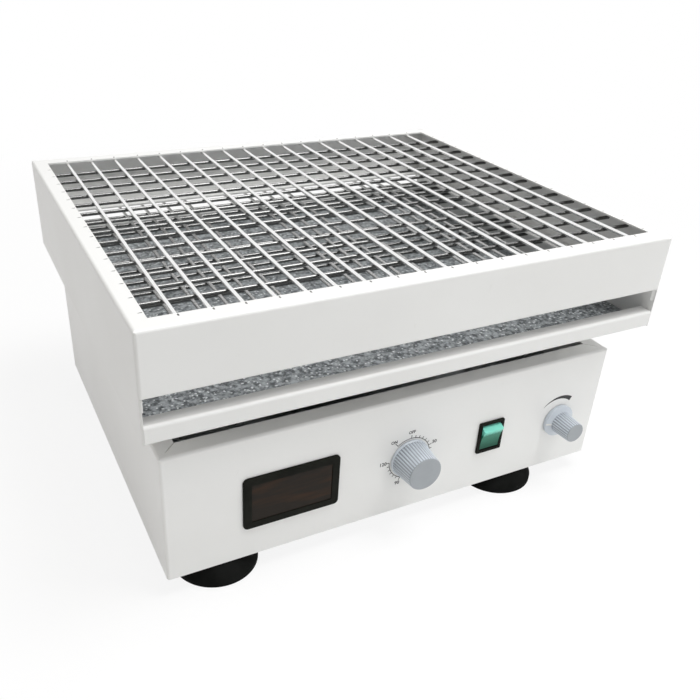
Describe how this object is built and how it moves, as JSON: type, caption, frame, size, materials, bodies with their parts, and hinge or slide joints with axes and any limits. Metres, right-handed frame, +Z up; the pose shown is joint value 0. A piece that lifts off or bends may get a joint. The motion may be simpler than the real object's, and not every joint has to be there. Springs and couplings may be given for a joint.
{
  "type": "orbital shaker",
  "caption": "Bench orbital shaker: two-level wire tube tray orbiting on eccentric cranks over a folded steel case with timer, switch, display and speed knob",
  "frame": {"origin": "on the bench under the middle of the whole outline at rest", "axes": "+X to the user's right, +Y to the back, +Z up; the control panel faces -Y"},
  "size_m": [0.45, 0.393, 0.236],
  "materials": {
    "case_paint": "smooth off-white powder coat",
    "tray_paint": "smooth off-white powder coat",
    "deck_paint": "grey hammertone enamel",
    "wire": "bright polished steel wire",
    "foot_rubber": "matt black rubber",
    "zinc_steel": "zinc-plated sheet steel",
    "turned_steel": "turned steel",
    "bearing_steel": "ground bearing steel",
    "cast_aluminium": "machined cast aluminium",
    "screw_steel": "blackened steel screws",
    "motor_paint": "dark enamel",
    "belt_rubber": "black rubber belt",
    "black_plastic": "fine-grained black plastic",
    "window_red": "smoked dark red plastic",
    "board_green": "green circuit board",
    "knob_grey": "light blue-grey plastic",
    "cap_grey": "mid grey plastic",
    "rocker_green": "translucent green plastic",
    "brass_nickel": "nickel-plated brass"
  },
  "bodies": {
    "case": {"front_panel": "case_paint", "rear_panel": "case_paint", "left_panel": "case_paint", "right_panel": "case_paint", "bottom_pan": "zinc_steel", "foot_front_left": "foot_rubber", "foot_front_right": "foot_rubber", "foot_rear_left": "foot_rubber", "foot_rear_right": "foot_rubber", "case_screws": "screw_steel", "chassis_plate": "zinc_steel", "chassis_rails": "zinc_steel", "display_bezel": "black_plastic", "display_window": "window_red", "display_board": "board_green", "timer_body": "black_plastic", "speed_potentiometer": "zinc_steel", "panel_nuts": "brass_nickel", "switch_housing": "black_plastic", "main_bearing_housing": "cast_aluminium", "main_outer_races": "bearing_steel", "idler_bearing_housings": "cast_aluminium", "idler_bearings": "bearing_steel", "motor": "motor_paint", "power_inlet": "black_plastic", "control_board": "board_green", "drive_belt": "belt_rubber"},
    "main_crank": {"eccentric_shaft": "turned_steel", "main_inner_races": "bearing_steel", "main_pulley": "cast_aluminium", "counterweight": "zinc_steel", "counterweight_screws": "screw_steel"},
    "platform": {"front_band": "tray_paint", "rear_band": "tray_paint", "left_side_panel": "tray_paint", "right_side_panel": "tray_paint", "grid_ledges": "tray_paint", "lower_pan": "tray_paint", "deck_sheet": "deck_paint", "upper_grid": "wire", "lower_grid": "wire", "carrier_plate": "zinc_steel", "platform_bearing_cups": "cast_aluminium", "platform_bearings": "bearing_steel", "carrier_bolts": "screw_steel"},
    "idler_front_left": {"idler_crank_front_left": "turned_steel"},
    "idler_front_right": {"idler_crank_front_right": "turned_steel"},
    "idler_rear_left": {"idler_crank_rear_left": "turned_steel"},
    "idler_rear_right": {"idler_crank_rear_right": "turned_steel"},
    "motor_rotor": {"motor_shaft": "turned_steel", "motor_pulley": "cast_aluminium"},
    "timer_control": {"timer_knob": "knob_grey", "timer_shaft": "turned_steel", "timer_knob_cap": "cap_grey"},
    "speed_control": {"speed_knob": "knob_grey", "speed_shaft": "turned_steel", "speed_knob_cap": "cap_grey"},
    "power_rocker": {"rocker": "rocker_green"}
  },
  "joints": [
    {"name": "main_crank_turn", "type": "hinge", "parent": "case", "child": "main_crank", "pos_m": [-0.00866, 0.0015, 0.088], "axis": [0, 0, 1], "continuous": true},
    {"name": "platform_orbit", "type": "hinge", "parent": "main_crank", "child": "platform", "pos_m": [0, 0.0065, 0.14], "axis": [0, 0, 1], "continuous": true},
    {"name": "idler_front_left_turn", "type": "hinge", "parent": "case", "child": "idler_front_left", "pos_m": [-0.15866, -0.0935, 0.09], "axis": [0, 0, 1], "continuous": true},
    {"name": "idler_front_right_turn", "type": "hinge", "parent": "case", "child": "idler_front_right", "pos_m": [0.14134, -0.0935, 0.09], "axis": [0, 0, 1], "continuous": true},
    {"name": "idler_rear_left_turn", "type": "hinge", "parent": "case", "child": "idler_rear_left", "pos_m": [-0.15866, 0.0965, 0.09], "axis": [0, 0, 1], "continuous": true},
    {"name": "idler_rear_right_turn", "type": "hinge", "parent": "case", "child": "idler_rear_right", "pos_m": [0.14134, 0.0965, 0.09], "axis": [0, 0, 1], "continuous": true},
    {"name": "motor_turn", "type": "hinge", "parent": "case", "child": "motor_rotor", "pos_m": [-0.00866, 0.0965, 0.09], "axis": [0, 0, 1], "continuous": true},
    {"name": "timer_turn", "type": "hinge", "parent": "case", "child": "timer_control", "pos_m": [-0.00666, -0.172, 0.0703], "axis": [0, 1, 0], "range_deg": [-40, 270]},
    {"name": "speed_turn", "type": "hinge", "parent": "case", "child": "speed_control", "pos_m": [0.15134, -0.172, 0.066], "axis": [0, 1, 0], "range_deg": [-60, 240]},
    {"name": "rocker_tilt", "type": "hinge", "parent": "case", "child": "power_rocker", "pos_m": [0.07494, -0.169, 0.0696], "axis": [-1, 0, 0], "range_deg": [0, 25]}
  ],
  "couplings": [
    {"joint": "platform_orbit", "follows": "main_crank_turn", "ratio": -1},
    {"joint": "motor_turn", "follows": "main_crank_turn", "ratio": 3.7451},
    {"joint": "idler_front_left_turn", "follows": "main_crank_turn", "ratio": 1},
    {"joint": "idler_front_right_turn", "follows": "main_crank_turn", "ratio": 1},
    {"joint": "idler_rear_left_turn", "follows": "main_crank_turn", "ratio": 1},
    {"joint": "idler_rear_right_turn", "follows": "main_crank_turn", "ratio": 1}
  ]
}
